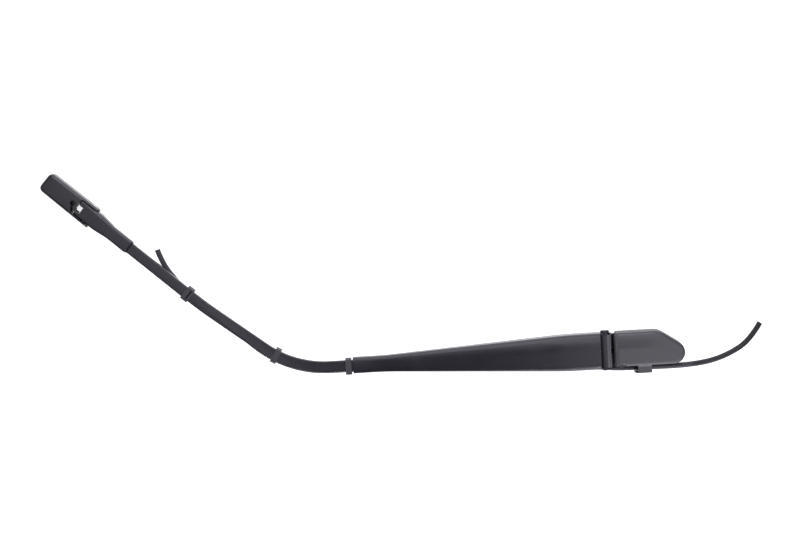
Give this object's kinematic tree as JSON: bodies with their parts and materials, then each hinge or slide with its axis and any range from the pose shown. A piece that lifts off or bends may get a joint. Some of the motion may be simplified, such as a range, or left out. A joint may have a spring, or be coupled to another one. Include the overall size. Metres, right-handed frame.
{
  "type": "wiper arm",
  "caption": "Car wiper arm: cast head with a hinged nut cap, sprung pressed channel, bent flat bar with a clipped washer hose, tip fork and pivoting blade adapter.",
  "frame": {"origin": "on the spindle axis at the nut seat of the mounting head", "axes": "+Z away from the glass along the spindle, +X from the arm towards the head's round end, hinge axis along Y"},
  "size_m": [0.5712, 0.1875, 0.0216],
  "materials": {
    "head_paint": "satin black paint over a die casting",
    "arm_paint": "satin black powder coat",
    "cap_plastic": "fine moulded grain, dark grey",
    "clip_plastic": "moulded, dark grey",
    "adapter_plastic": "moulded, dark grey",
    "pin_steel": "zinc plated",
    "bush_bronze": "sintered bronze",
    "spring_steel": "zinc plated spring wire",
    "hose_rubber": "matt black rubber"
  },
  "bodies": {
    "head": {"mounting_head": "head_paint", "spring_anchor_pin": "pin_steel", "hinge_bush_upper": "bush_bronze", "hinge_bush_lower": "bush_bronze", "hose_inlet": "hose_rubber", "hose_hinge": "hose_rubber"},
    "cap": {"nut_cap": "cap_plastic"},
    "arm": {"arm_channel": "arm_paint", "hinge_pin": "arm_paint", "arm_bar": "arm_paint", "hose_clip_root": "clip_plastic", "hose_clip_bend": "clip_plastic", "hose_clip_tip": "clip_plastic", "arm_tip_fork": "arm_paint", "adapter_pivot_pin": "pin_steel", "hose_arm": "hose_rubber", "hose_outlet": "hose_rubber"},
    "spring_set": {"spring_link": "spring_steel", "tension_spring": "spring_steel"},
    "adapter": {"blade_adapter": "adapter_plastic"}
  },
  "joints": [
    {"name": "arm_hinge", "type": "hinge", "parent": "head", "child": "arm", "pos_m": [-0.042, 0, 0.003], "axis": [0, 1, 0], "range_deg": [0, 55], "stiffness_Nm_per_rad": 0.5, "springref_deg": -57.3, "deforming": ["hose_hinge", "tension_spring"]},
    {"name": "cap_hinge", "type": "hinge", "parent": "head", "child": "cap", "pos_m": [-0.0303, 0, 0.0077], "axis": [0, -1, 0], "range_deg": [0, 90]},
    {"name": "spring_link_swing", "type": "hinge", "parent": "head", "child": "spring_set", "pos_m": [-0.037, 0, -0.0025], "axis": [0, 1, 0], "range_deg": [0, 52]},
    {"name": "adapter_pivot", "type": "hinge", "parent": "arm", "child": "adapter", "pos_m": [-0.44872, 0.13363, 0.0015], "axis": [0.6743, 0.7385, 0], "range_deg": [-20, 20]}
  ],
  "couplings": [
    {"joint": "spring_link_swing", "follows": "arm_hinge", "ratio": 0.9418}
  ]
}
